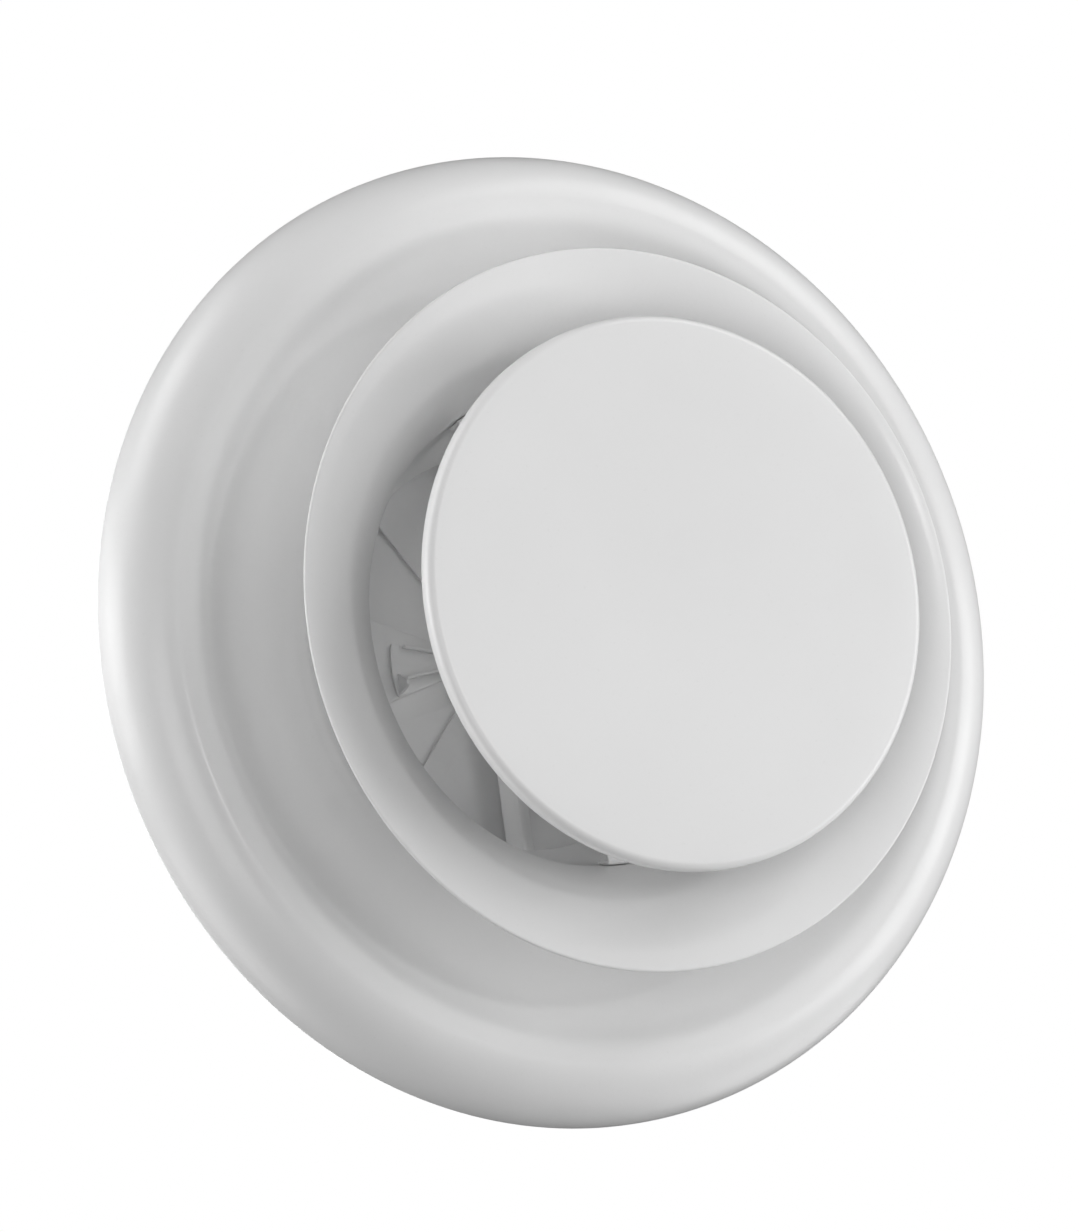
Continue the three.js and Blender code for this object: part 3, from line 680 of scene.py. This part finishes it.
def wrap_round(piece, radius, angle):
    """Wraps a flat piece lying in XY, its thickness along Z, round a wall.
    X becomes arc length and Y height; a piece with few faces is cut finer first."""
    if piece.data.polygons and len(piece.data.polygons) < 400:
        bm = bmesh.new()
        bm.from_mesh(piece.data)
        long_edges = [e for e in bm.edges if e.calc_length() > 3 * MM]
        bmesh.ops.subdivide_edges(bm, edges=long_edges, cuts=5, use_grid_fill=True)
        bm.to_mesh(piece.data)
        bm.free()
    base = math.radians(angle)
    for vert in piece.data.vertices:
        x, y, z = vert.co
        turn = base + x / (radius * MM)
        reach = radius * MM + z
        vert.co = (reach * math.cos(turn), reach * math.sin(turn), y)


def neck_lip_seal():
    """Extruded rubber band with two raked lips."""
    inside = NECK_RADIUS + GAP
    base = inside + 1.3
    tip = NECK_RADIUS + 4.2
    low = SEAL_BOTTOM_Z
    high = low + 11.0
    section = [(inside, low + 0.3), (inside + 0.3, low), (base, low)]
    for bottom in (low, low + 6.0):
        section += [(tip - 0.5, bottom + 0.62), (tip - 0.12, bottom + 0.74), (tip, bottom + 1.0),
                    (tip - 0.2, bottom + 1.2), (tip - 1.2, bottom + 1.62), (base + 0.5, bottom + 2.7),
                    (base, bottom + 3.3)]
        section += [(base, bottom + 5.6)] if bottom == low else []
    section += [(base, high - 0.4), (base - 0.4, high), (inside + 0.3, high), (inside, high - 0.3)]
    fit(revolve("lip_seal", section, FINE), "neck_lip_seal", 50)


# ------------------------------------------------------------------ bridge bar

def eased(value, points):
    """The value at a place between (x, y) points, eased in and out of each point."""
    for (x0, y0), (x1, y1) in zip(points, points[1:]):
        if value <= x1:
            share = max(0.0, (value - x0) / (x1 - x0))
            share = share * share * (3 - 2 * share)
            return y0 + (y1 - y0) * share
    return points[-1][1]


def formed_strap(name, stations, half_width, fold, conform_from, foot_corner, hole_radius, angle):
    """One folded strip across a round wall. Stations are (run, radius, height) along its outer face
    from the middle to a foot's end: the upper face where the feet turn down, the lower where they turn
    up. Its ends are cut and bent to fit the round wall."""
    across = 16
    wall_at = next(i for i, station in enumerate(stations) if station[2] != stations[0][2])
    rise = 1 if stations[-1][2] > stations[0][2] else -1
    wall_radius = stations[wall_at - 1][1]
    bm = bmesh.new()
    rows = []
    for side in (-1, 1):
        order = stations[::-1] if side < 0 else stations[1:]
        for station in order:
            run, radius, height = station
            half = eased(run, half_width)
            dip = eased(run, fold)
            row = []
            for k in range(across + 1):
                t = 2 * k / across - 1
                y = half * t
                if station in stations[wall_at:]:
                    reach = math.sqrt(radius * radius - y * y)
                elif radius > conform_from:
                    share = (radius - conform_from) / (wall_radius - conform_from)
                    wall_reach = math.sqrt(wall_radius * wall_radius - y * y)
                    reach = conform_from + share * (wall_reach - conform_from)
                else:
                    reach = radius
                groove = dip * (1 - math.sqrt(t * t + 0.012) + 0.055) if dip else 0.0
                at_end = station is stations[-1]
                corner = foot_corner * max(0.0, abs(t) - 0.7) ** 2 / 0.09 if at_end else 0.0
                row.append(bm.verts.new((side * reach, y, height - groove - rise * corner)))
            rows.append(row)
    for a, b in zip(rows, rows[1:]):
        for k in range(across):
            bm.faces.new((a[k], b[k], b[k + 1], a[k + 1]))
    bmesh.ops.recalc_face_normals(bm, faces=bm.faces)
    if rise * sum(f.normal.z for f in bm.faces if abs(f.calc_center_median().x) < conform_from) > 0:
        bmesh.ops.reverse_faces(bm, faces=bm.faces)
    bmesh.ops.solidify(bm, geom=bm.faces[:], thickness=SHEET)
    bevelled(bm, 0.18, 2, 60)
    strap = new_object(name, bm)
    top = stations[0][2]
    punch = [(0.0, top - 9), (hole_radius, top - 9), (hole_radius, top + 5), (0.0, top + 5)]
    hole = revolve("hole", punch, SMALL)
    strap = combined(strap, hole, "DIFFERENCE")
    strap.data.transform(Matrix.Rotation(math.radians(angle), 4, "Z"))
    return strap


def bend_stations(end_radius, top, bend, flat_run, rise=-1):
    """Stations of a flat run followed by a quarter bend down or up against a wall."""
    straight = end_radius - bend
    stations = [(x, x, top) for x in flat_run if x < straight - 0.3] + [(straight, straight, top)]
    for k in range(1, 7):
        turn = math.pi / 2 * k / 6
        height = top + rise * bend * (1 - math.cos(turn))
        stations.append((straight + bend * turn, straight + bend * math.sin(turn), height))
    return stations


def bridge_bar():
    """Flat pad, V-section arms, flared ends and feet bent down the spigot wall."""
    top = bar_high.z
    arm_half = 4.2
    foot_half = 10.0
    depth = 2.6
    wall = SKIRT_INSIDE + SHEET
    half_width = [(0, 8.0), (12.6, 8.0), (15.4, arm_half), (65.5, arm_half), (74.5, foot_half),
                  (200, foot_half)]
    fold = [(0, 0), (13.0, 0), (17.5, depth), (63.0, depth), (70.5, 0), (200, 0)]
    flat_run = [0.0, 6.0, 11.0, 12.6, 13.3, 14.0, 14.7, 15.4, 16.4, 17.5, 24, 34, 44, 54, 63]
    flat_run += [65.5 + 1.1 * k for k in range(9)]
    stations = bend_stations(wall, top, 2.2, flat_run)
    for k in range(1, 7):
        stations.append((90 + k, wall, stations[-1][2] + (bar_low.z - stations[-1][2]) / (7 - k)))
    fit(formed_strap("bridge_strip", stations, half_width, fold, 60, 2.0, 4.6, BAR_ANGLE), "bridge_bar", 30)


# ------------------------------------------------------------------ fasteners

THREAD_PITCH = 1.25
THREAD_DEPTH = 0.62


def hex_nut(name, node, flats=13.0):
    """A chamfered hexagon nut with a countersunk, threaded-looking bore."""
    low, high = box_mm(node)
    steps = 72
    bore = SPINDLE_RADIUS + GAP
    land = flats / 2 - 0.15
    fall = math.tan(math.radians(28))
    mouth = bore + 0.7
    grooves = max(2, int((high.z - low.z - 1.6) / THREAD_PITCH))

    def corner_radius(turn):
        within = (turn + math.pi / 6) % (math.pi / 3) - math.pi / 6
        return flats / 2 / math.cos(math.pi / 6 - abs(within))

    bm = bmesh.new()
    columns = []
    for i in range(steps):
        turn = 2 * math.pi * i / steps
        outer = corner_radius(turn)
        drop = (outer - land) * fall
        section = [(bore, low.z + 0.7), (mouth, low.z), (land, low.z), (outer, low.z + drop),
                   (outer, high.z - drop), (land, high.z), (mouth, high.z), (bore, high.z - 0.7)]
        for k in range(1, 2 * grooves):
            height = high.z - 0.7 - (high.z - low.z - 1.4) * k / (2 * grooves)
            section.append((bore + (0.4 if k % 2 else 0.0), height))
        columns.append([bm.verts.new((r * math.cos(turn), r * math.sin(turn), z)) for r, z in section])
    count = len(columns[0])
    for i in range(steps):
        a, b = columns[i], columns[(i + 1) % steps]
        for k in range(count):
            m = (k + 1) % count
            bm.faces.new((a[k], b[k], b[m], a[m]))
    fit(new_object(name, bm), node, 25)


def threaded_spindle():
    """M8 rod with a real helical thread and chamfered ends."""
    low, high = box_mm("threaded_spindle")
    steps = 28
    profile = ((0.0, SPINDLE_RADIUS), (0.16, SPINDLE_RADIUS), (0.50, SPINDLE_RADIUS - THREAD_DEPTH),
               (0.64, SPINDLE_RADIUS - THREAD_DEPTH))
    rows = len(profile)
    turns = int((high.z - low.z) / THREAD_PITCH) + 4
    chamfer = 0.8
    bm = bmesh.new()

    def corner(column, row):
        share, radius = profile[row % rows]
        z = low.z + THREAD_PITCH * (row // rows - 2 + share + column / steps)
        nearest = min(z - low.z, high.z - z)
        radius = min(radius, SPINDLE_RADIUS - chamfer + max(nearest, 0.0))
        turn = 2 * math.pi * column / steps
        return bm.verts.new((radius * math.cos(turn), radius * math.sin(turn), z))

    columns = [[corner(i, k) for k in range(rows * turns)] for i in range(steps)]
    for i in range(steps):
        a = columns[i]
        b = columns[i + 1] if i + 1 < steps else columns[0][rows:]
        for k in range(min(len(a), len(b)) - 1):
            bm.faces.new((a[k], b[k], b[k + 1], a[k + 1]))
    for z, normal in ((low.z, (0, 0, -1)), (high.z, (0, 0, 1))):
        geom = bm.verts[:] + bm.edges[:] + bm.faces[:]
        bmesh.ops.bisect_plane(bm, geom=geom, plane_co=(0, 0, z), plane_no=normal, clear_outer=True,
                               dist=1e-5)
        rim = [e for e in bm.edges if e.is_boundary and abs(e.verts[0].co.z - z) < 0.01]
        bmesh.ops.contextual_create(bm, geom=rim)
    fit(new_object("spindle_thread", bm), "threaded_spindle", 25)


def on_wall(angle, radius, height, tilt=0.0):
    """Puts +Z of a fastener along the outward direction at a place on a round wall."""
    return (Matrix.Rotation(math.radians(angle), 4, "Z") @ Matrix.Translation((radius, 0, height))
            @ Matrix.Rotation(math.radians(90 + tilt), 4, "Y"))


def blind_rivet(node, grip, place):
    """Domed head with the broken mandrel sunk in it, shank and bulbed tail."""
    head = 3.0
    crown = 1.2
    low = -GAP - crown
    high = grip + GAP + crown
    tail = head - 0.6
    shank = 1.6
    section = [(0.0, low), (0.9, low), (1.05, low + 0.12), (tail - 0.5, low + 0.1), (tail - 0.1, low + 0.35),
               (tail, low + 0.7), (tail - 0.15, -GAP), (shank, -GAP + 0.02), (shank, grip + GAP),
               (head - 0.12, grip + GAP), (head, grip + GAP + 0.14), (head - 0.25, grip + GAP + 0.42),
               (head - 0.9, high - 0.28), (head - 1.6, high - 0.04), (1.15, high), (0.98, high - 0.08),
               (0.92, high - 0.42), (0.78, high - 0.42), (0.74, high - 0.22), (0.0, high - 0.18)]
    fit(revolve(node + "_set", section, SMALL, on_wall(*place)), node, 35)


def foot_angles(direction, spread):
    """Where the two rivets of each foot sit, for a strip that crosses the part in a direction."""
    return [side + turn for side in (direction, direction + 180) for turn in (-spread, spread)]


def softened_ring(name, node, soft):
    """A plain ring round the spindle, its four edges cut off by a small chamfer."""
    low, high = box_mm(node)
    inner = SPINDLE_RADIUS + GAP
    outer = high.x
    section = [(inner, low.z + soft), (inner + soft, low.z), (outer - soft, low.z), (outer, low.z + soft),
               (outer, high.z - soft), (outer - soft, high.z), (inner + soft, high.z), (inner, high.z - soft)]
    fit(revolve(name, section, MEDIUM), node)


def fasteners():
    hex_nut("bridge_hex_nut", "bridge_nut")
    hex_nut("lock_hex_nut", "lock_nut")
    softened_ring("plain_washer", "lock_washer", 0.25)
    threaded_spindle()
    grip = 2 * SHEET + GAP
    for i, angle in enumerate(foot_angles(BAR_ANGLE, BRIDGE_RIVET_SPREAD)):
        blind_rivet("bridge_rivet_%d" % (i + 1), grip, (angle, SKIRT_INSIDE, BRIDGE_RIVET_Z))
    for i, angle in enumerate(SHUTTER_RIVET_ANGLES):
        blind_rivet("shutter_rivet_%d" % (i + 1), grip, (angle, SKIRT_INSIDE, SHUTTER_RIVET_Z))
    middle = flare_angle(STRAP_TOP_Z + STRAP_RIVET_HEIGHT)
    start = off_flare(middle, SHEET + GAP)
    end = off_flare(middle, 0)
    tilt = -math.degrees(math.atan2(end[1] - start[1], end[0] - start[0]))
    for i, angle in enumerate(foot_angles(STRAP_ANGLE, STRAP_RIVET_SPREAD)):
        blind_rivet("strap_rivet_%d" % (i + 1), grip, (angle, start[0], start[1], tilt))


# ------------------------------------------------------------------ shutter

def ports(first):
    """Outlines of the sector-shaped openings, each with rounded corners."""
    inner, outer = 15.0, 66.0
    corner = 2.5
    shapes = []
    for i in range(PORTS):
        middle = first + 360 / PORTS * i
        half = PORT_ANGLE / 2
        outer_arc = arc((0, 0), (outer, outer), middle - half, middle + half, 48)
        inner_arc = arc((0, 0), (inner, inner), middle + half, middle - half, 16)
        shapes.append(trimmed_loop(outer_arc + inner_arc, corner))
    return shapes


def trimmed_loop(loop, radius, steps=5, sharp=35.0):
    """A closed outline with only its sharp corners rounded."""
    out = []
    count = len(loop)
    for i, here in enumerate(loop):
        corner = Vector(here)
        into = Vector(loop[i - 1]) - corner
        onto = Vector(loop[(i + 1) % count]) - corner
        bend = 180 - math.degrees(into.angle(onto))
        if bend < sharp:
            out.append(tuple(here))
            continue
        reach_in = min(radius, into.length * 0.9)
        reach_on = min(radius, onto.length * 0.9)
        start = corner + into.normalized() * reach_in
        end = corner + onto.normalized() * reach_on
        out += corner_curve(start, corner, end, steps)
    return out


def shutter_seat():
    outlines = [circle(WALL_INSIDE - GAP, 180)] + ports(SEAT_PORT_ANGLE) + [circle(EYELET_HOLE, 48)]
    face = flat_plate("seat_plate", outlines, seat_high.z - SHUTTER_SHEET, SHUTTER_SHEET)
    edge = WALL_INSIDE - GAP
    wall = [(SKIRT_INSIDE, seat_low.z + 0.2), (SKIRT_INSIDE + 0.2, seat_low.z), (edge - 0.2, seat_low.z),
            (edge, seat_low.z + 0.2), (edge, seat_high.z - 0.7), (SKIRT_INSIDE, seat_high.z - 0.7)]
    skirt = revolve("seat_skirt", wall, 180)
    half = 12.0
    notch = block("notch", (-90, -half, seat_low.z - 1), (90, half, 42.0), BAR_ANGLE)
    skirt = combined(skirt, notch, "DIFFERENCE")
    fit(combined(face, skirt, "UNION"), "shutter_seat", 30)


def shutter_rotor():
    outlines = [circle(rotor_high.x, 180)] + ports(SEAT_PORT_ANGLE + 180 / PORTS) + [circle(EYELET_HOLE, 48)]
    fit(flat_plate("rotor_plate", outlines, rotor_low.z, rotor_high.z - rotor_low.z), "shutter_rotor", 30)


def shutter_lever():
    """Tapered blade with a pointed finger tab folded down from an ear at its tip."""
    tip = 34.0
    root = 11.5
    ear_angle = 8.0
    ear_depth = 4.0
    fold_depths = (4.0, 2.2)        # at the root and at the tip
    sheet = SHUTTER_SHEET
    side = LEVER_HALF_ANGLE
    ear = side + ear_angle
    neck = tip - ear_depth
    top = lever_high.z
    outline = arc((0, 0), (tip, tip), -ear, side, 20)
    outline += arc((0, 0), (root, root), side, -side, 8)
    outline += arc((0, 0), (neck, neck), -side, -ear, 6)
    blade = flat_plate("lever_blade", [trimmed_loop(outline, 1.0)], top - sheet, sheet, 0.18)
    outer = -tip * math.sin(math.radians(ear))
    inner = -tip * math.sin(math.radians(side / 2))
    point = (outer + inner) / 2
    pointed = [(outer + 0.4, top - sheet / 2), (point - 1, lever_low.z), (point + 1, lever_low.z),
               (inner, top - sheet / 2)]
    upright = Matrix(((0, 0, 1, 0), (1, 0, 0, 0), (0, 1, 0, 0), (0, 0, 0, 1)))
    reach = tip * math.cos(math.radians(ear)) - sheet - 0.1
    tab = flat_plate("lever_tab", [trimmed_loop(pointed, 0.8)], reach, sheet, 0.18, upright)
    lever = combined(blade, tab, "UNION")
    fold_top = top - sheet / 2
    fold = [(root + 1.5, fold_top), (neck, fold_top), (neck, fold_top - fold_depths[1]),
            (root + 1.5, fold_top - fold_depths[0])]
    standing = Matrix(((1, 0, 0, 0), (0, 0, -1, 0), (0, 1, 0, 0), (0, 0, 0, 1)))
    for angle, low_edge in ((side, 0.1), (-side, -sheet - 0.1)):
        turn = Matrix.Rotation(math.radians(angle), 4, "Z")
        flange = flat_plate("lever_fold", [trimmed_loop(fold, 0.5)], low_edge, sheet, 0.18, turn @ standing)
        lever = combined(lever, flange, "UNION")
    lever.data.transform(Matrix.Rotation(math.radians(LEVER_ANGLE), 4, "Z"))
    fit(lever, "shutter_lever", 30)


def shutter_eyelet():
    low, high = box_mm("shutter_eyelet")
    bore = SPINDLE_RADIUS + 0.9
    barrel = EYELET_HOLE - GAP
    flange = high.x
    thick = 0.8
    section = [(bore, low.z + 0.3), (bore + 0.3, low.z), (flange - 0.35, low.z), (flange, low.z + 0.3),
               (flange - 0.05, low.z + thick), (barrel + 0.2, low.z + thick), (barrel, low.z + thick + 0.2),
               (barrel, high.z - thick - 0.2), (barrel + 0.2, high.z - thick),
               (flange - 0.05, high.z - thick), (flange, high.z - 0.35), (flange - 0.35, high.z),
               (bore + 0.3, high.z), (bore, high.z - 0.3)]
    fit(revolve("eyelet_bush", section, MEDIUM), "shutter_eyelet")


# ------------------------------------------------------------------ back of the disc

def disc_stiffener():
    low, high = box_mm("disc_stiffener")
    rise = 1.4
    inner = [(0.001, low.z), (11, low.z), (14, low.z + rise), (31, low.z + rise), (34, low.z),
             (high.x, low.z)]
    curve = fillet(inner, 2.0, 4)
    outline = sheet_outline(curve, SHEET, cap=3)
    closed = [(0.0, low.z)] + [p for p in outline if p[0] > 1.0] + [(0.0, low.z + SHEET)]
    fit(revolve("stiffener_pressing", closed, FINE), "disc_stiffener")


def disc_boss():
    low, high = box_mm("disc_boss")
    bore = SPINDLE_RADIUS + GAP
    section = [(bore, low.z + 0.4), (bore + 0.4, low.z), (10.3, low.z), (10.6, low.z + 0.3),
               (10.6, low.z + 0.7), (10.2, low.z + 1.1), (8.4, low.z + 1.7), (7.7, low.z + 2.2),
               (7.5, low.z + 2.9), (7.5, high.z - 0.6), (6.9, high.z), (bore + 0.5, high.z),
               (bore, high.z - 0.5)]
    fit(revolve("weld_boss", section, MEDIUM), "disc_boss")


def cone_strap():
    """Waisted strap across the bell, its wide ends bent up along the flare."""
    foot = 19.5
    waist = 9.0
    bend = 1.6
    floor_z = STRAP_TOP_Z - SHEET
    heights = [floor_z + bend + (STRAP_FOOT_TOP_Z - floor_z - bend) * k / 6 for k in range(7)]
    wall = [off_flare(flare_angle(height), GAP) for height in heights]
    flat_run = [0.0, 5.0, 10.0, 20.0, 35.0, 50.0] + [58 + 1.2 * k for k in range(11)]
    stations = bend_stations(wall[0][0], floor_z, bend, flat_run, 1)
    stations += [(90 + k, radius, height) for k, (radius, height) in enumerate(wall[1:])]
    half_width = [(0, waist), (60, waist), (60 + foot - waist, foot), (200, foot)]
    flat = [(0, 0), (200, 0)]
    strap = formed_strap("bell_strap", stations, half_width, flat, 60, 2.0, SPINDLE_RADIUS + GAP,
                         STRAP_ANGLE)
    fit(strap, "cone_strap", 30)


rim_gasket()
neck_collar()
neck_lip_seal()
bridge_bar()
fasteners()
shutter_seat()
shutter_rotor()
shutter_lever()
shutter_eyelet()
disc_stiffener()
disc_boss()
cone_strap()
softened_ring("spacer_sleeve", "spacer_tube", 0.3)

# ------------------------------------------------------------------ floor, light, camera

# Lengths here are metres, angles degrees and power watts; the lens is in millimetres.
CEILING_HEIGHT = 2.4
FLOOR_HALF = 7.0
WASH_DROP = 1.3             # the floor's own light: below the part, wide and turned straight down
WASH_SIZE = 9.0
WASH_POWER = 230.0
CAMERA_TILT = 29.0          # off the diffuser's axis
CAMERA_ROLL = 21.0
CAMERA_DISTANCE = 1.0684
CAMERA_TARGET = (-0.0053, -0.0076, -0.008)
CAMERA_LENS = 102.27


def floor():
    """A plain pale floor with its own wash of light; its bounce is kept off the part."""
    bm = bmesh.new()
    bmesh.ops.create_grid(bm, x_segments=2, y_segments=2, size=FLOOR_HALF / MM)
    bmesh.ops.translate(bm, verts=bm.verts, vec=(0, 0, -CEILING_HEIGHT / MM))
    plane = new_object("studio_floor", bm)
    plane.data.materials.append(floor_paint())
    plane.visible_diffuse = False
    plane.visible_glossy = False
    wash = softbox("floor_wash", (0, 0, -1), WASH_DROP, WASH_SIZE, WASH_POWER)
    wash.rotation_euler = (0, 0, 0)


def softbox(name, direction, distance, size, power):
    """A square area light at a distance in a direction, aimed at the diffuser."""
    data = bpy.data.lights.new(name, "AREA")
    data.size = size
    data.energy = power
    lamp = bpy.data.objects.new(name, data)
    place = Vector(direction).normalized() * distance
    lamp.location = place
    lamp.rotation_euler = (-place).to_track_quat("-Z", "Y").to_euler()
    lamp.visible_camera = False
    bpy.context.scene.collection.objects.link(lamp)
    return lamp


def camera():
    """Below the ceiling and to one side, looking up at the face."""
    tilt = math.radians(CAMERA_TILT)
    roll = math.radians(CAMERA_ROLL)
    forward = Vector((math.sin(tilt), 0, math.cos(tilt)))
    level = Vector((math.cos(tilt), 0, -math.sin(tilt)))
    side = Vector((0, 1, 0))
    right = level * math.cos(roll) + side * math.sin(roll)
    up = level * math.sin(roll) - side * math.cos(roll)
    data = bpy.data.cameras.new("camera")
    data.lens = CAMERA_LENS
    data.clip_start = 0.01
    eye = bpy.data.objects.new("camera", data)
    eye.matrix_world = Matrix((right, up, -forward)).transposed().to_4x4()
    eye.location = Vector(CAMERA_TARGET) - forward * CAMERA_DISTANCE
    bpy.context.scene.collection.objects.link(eye)
    bpy.context.scene.camera = eye
    return right, up, forward


# Each softbox: its direction as seen by the camera (right, up, towards the camera), distance and size
# in metres, and power in watts.
SOFTBOXES = {
    "front": ((0, 0, 1), 1.6, 0.9, 8.9),
    "front_top": ((0, 1, 1), 1.6, 0.9, 1.2),
    "left": ((-1, 0, 0.12), 1.6, 0.9, 10.0),
    "right": ((1, 0, 0.12), 1.6, 0.9, 11.1),
    "top": ((0, 1, 0.12), 1.6, 0.9, 1.1),
    "top_left": ((-1, 1, 0.17), 1.6, 0.9, 7.6),
    "top_right": ((1, 1, 0.17), 1.6, 0.9, 7.9),
    "low_left": ((-1, -1, 0.17), 1.6, 0.9, 5.5),
    "low_right": ((1, -1, 0.17), 1.6, 0.9, 1.5),
    "low_right_back": ((1, -1, -0.5), 1.6, 0.9, 4.8),
    "glint": ((0.64, 0.24, 0.73), 1.7, 0.1, 2.2),
}
# The same, but with directions in the part's own axes: they light its back.
BACK_SOFTBOXES = {
    "above": ((0, 0, 1), 1.8, 1.2, 11.0),
    "above_side": ((-0.7, -0.5, 0.8), 1.8, 0.9, 4.0),
}


def surround():
    """A white background for the camera that throws no light of its own on the diffuser."""
    world = bpy.data.worlds.new("surround")
    world.use_nodes = True
    tree = world.node_tree
    seen = tree.nodes["Background"]
    seen.inputs["Color"].default_value = (1, 1, 1, 1)
    path = tree.nodes.new("ShaderNodeLightPath")
    tree.links.new(path.outputs["Is Camera Ray"], seen.inputs["Strength"])
    bpy.context.scene.world = world


def studio():
    """White surround, soft lights on all sides of the camera and the part, and the floor."""
    right, up, forward = camera()
    surround()
    for name, (direction, distance, size, power) in SOFTBOXES.items():
        aim = right * direction[0] + up * direction[1] - forward * direction[2]
        softbox(name, aim, distance, size, power)
    for name, settings in BACK_SOFTBOXES.items():
        softbox(name, *settings)
    bpy.context.scene.view_settings.view_transform = "Standard"
    bpy.context.scene.view_settings.look = "None"
    floor()


studio()
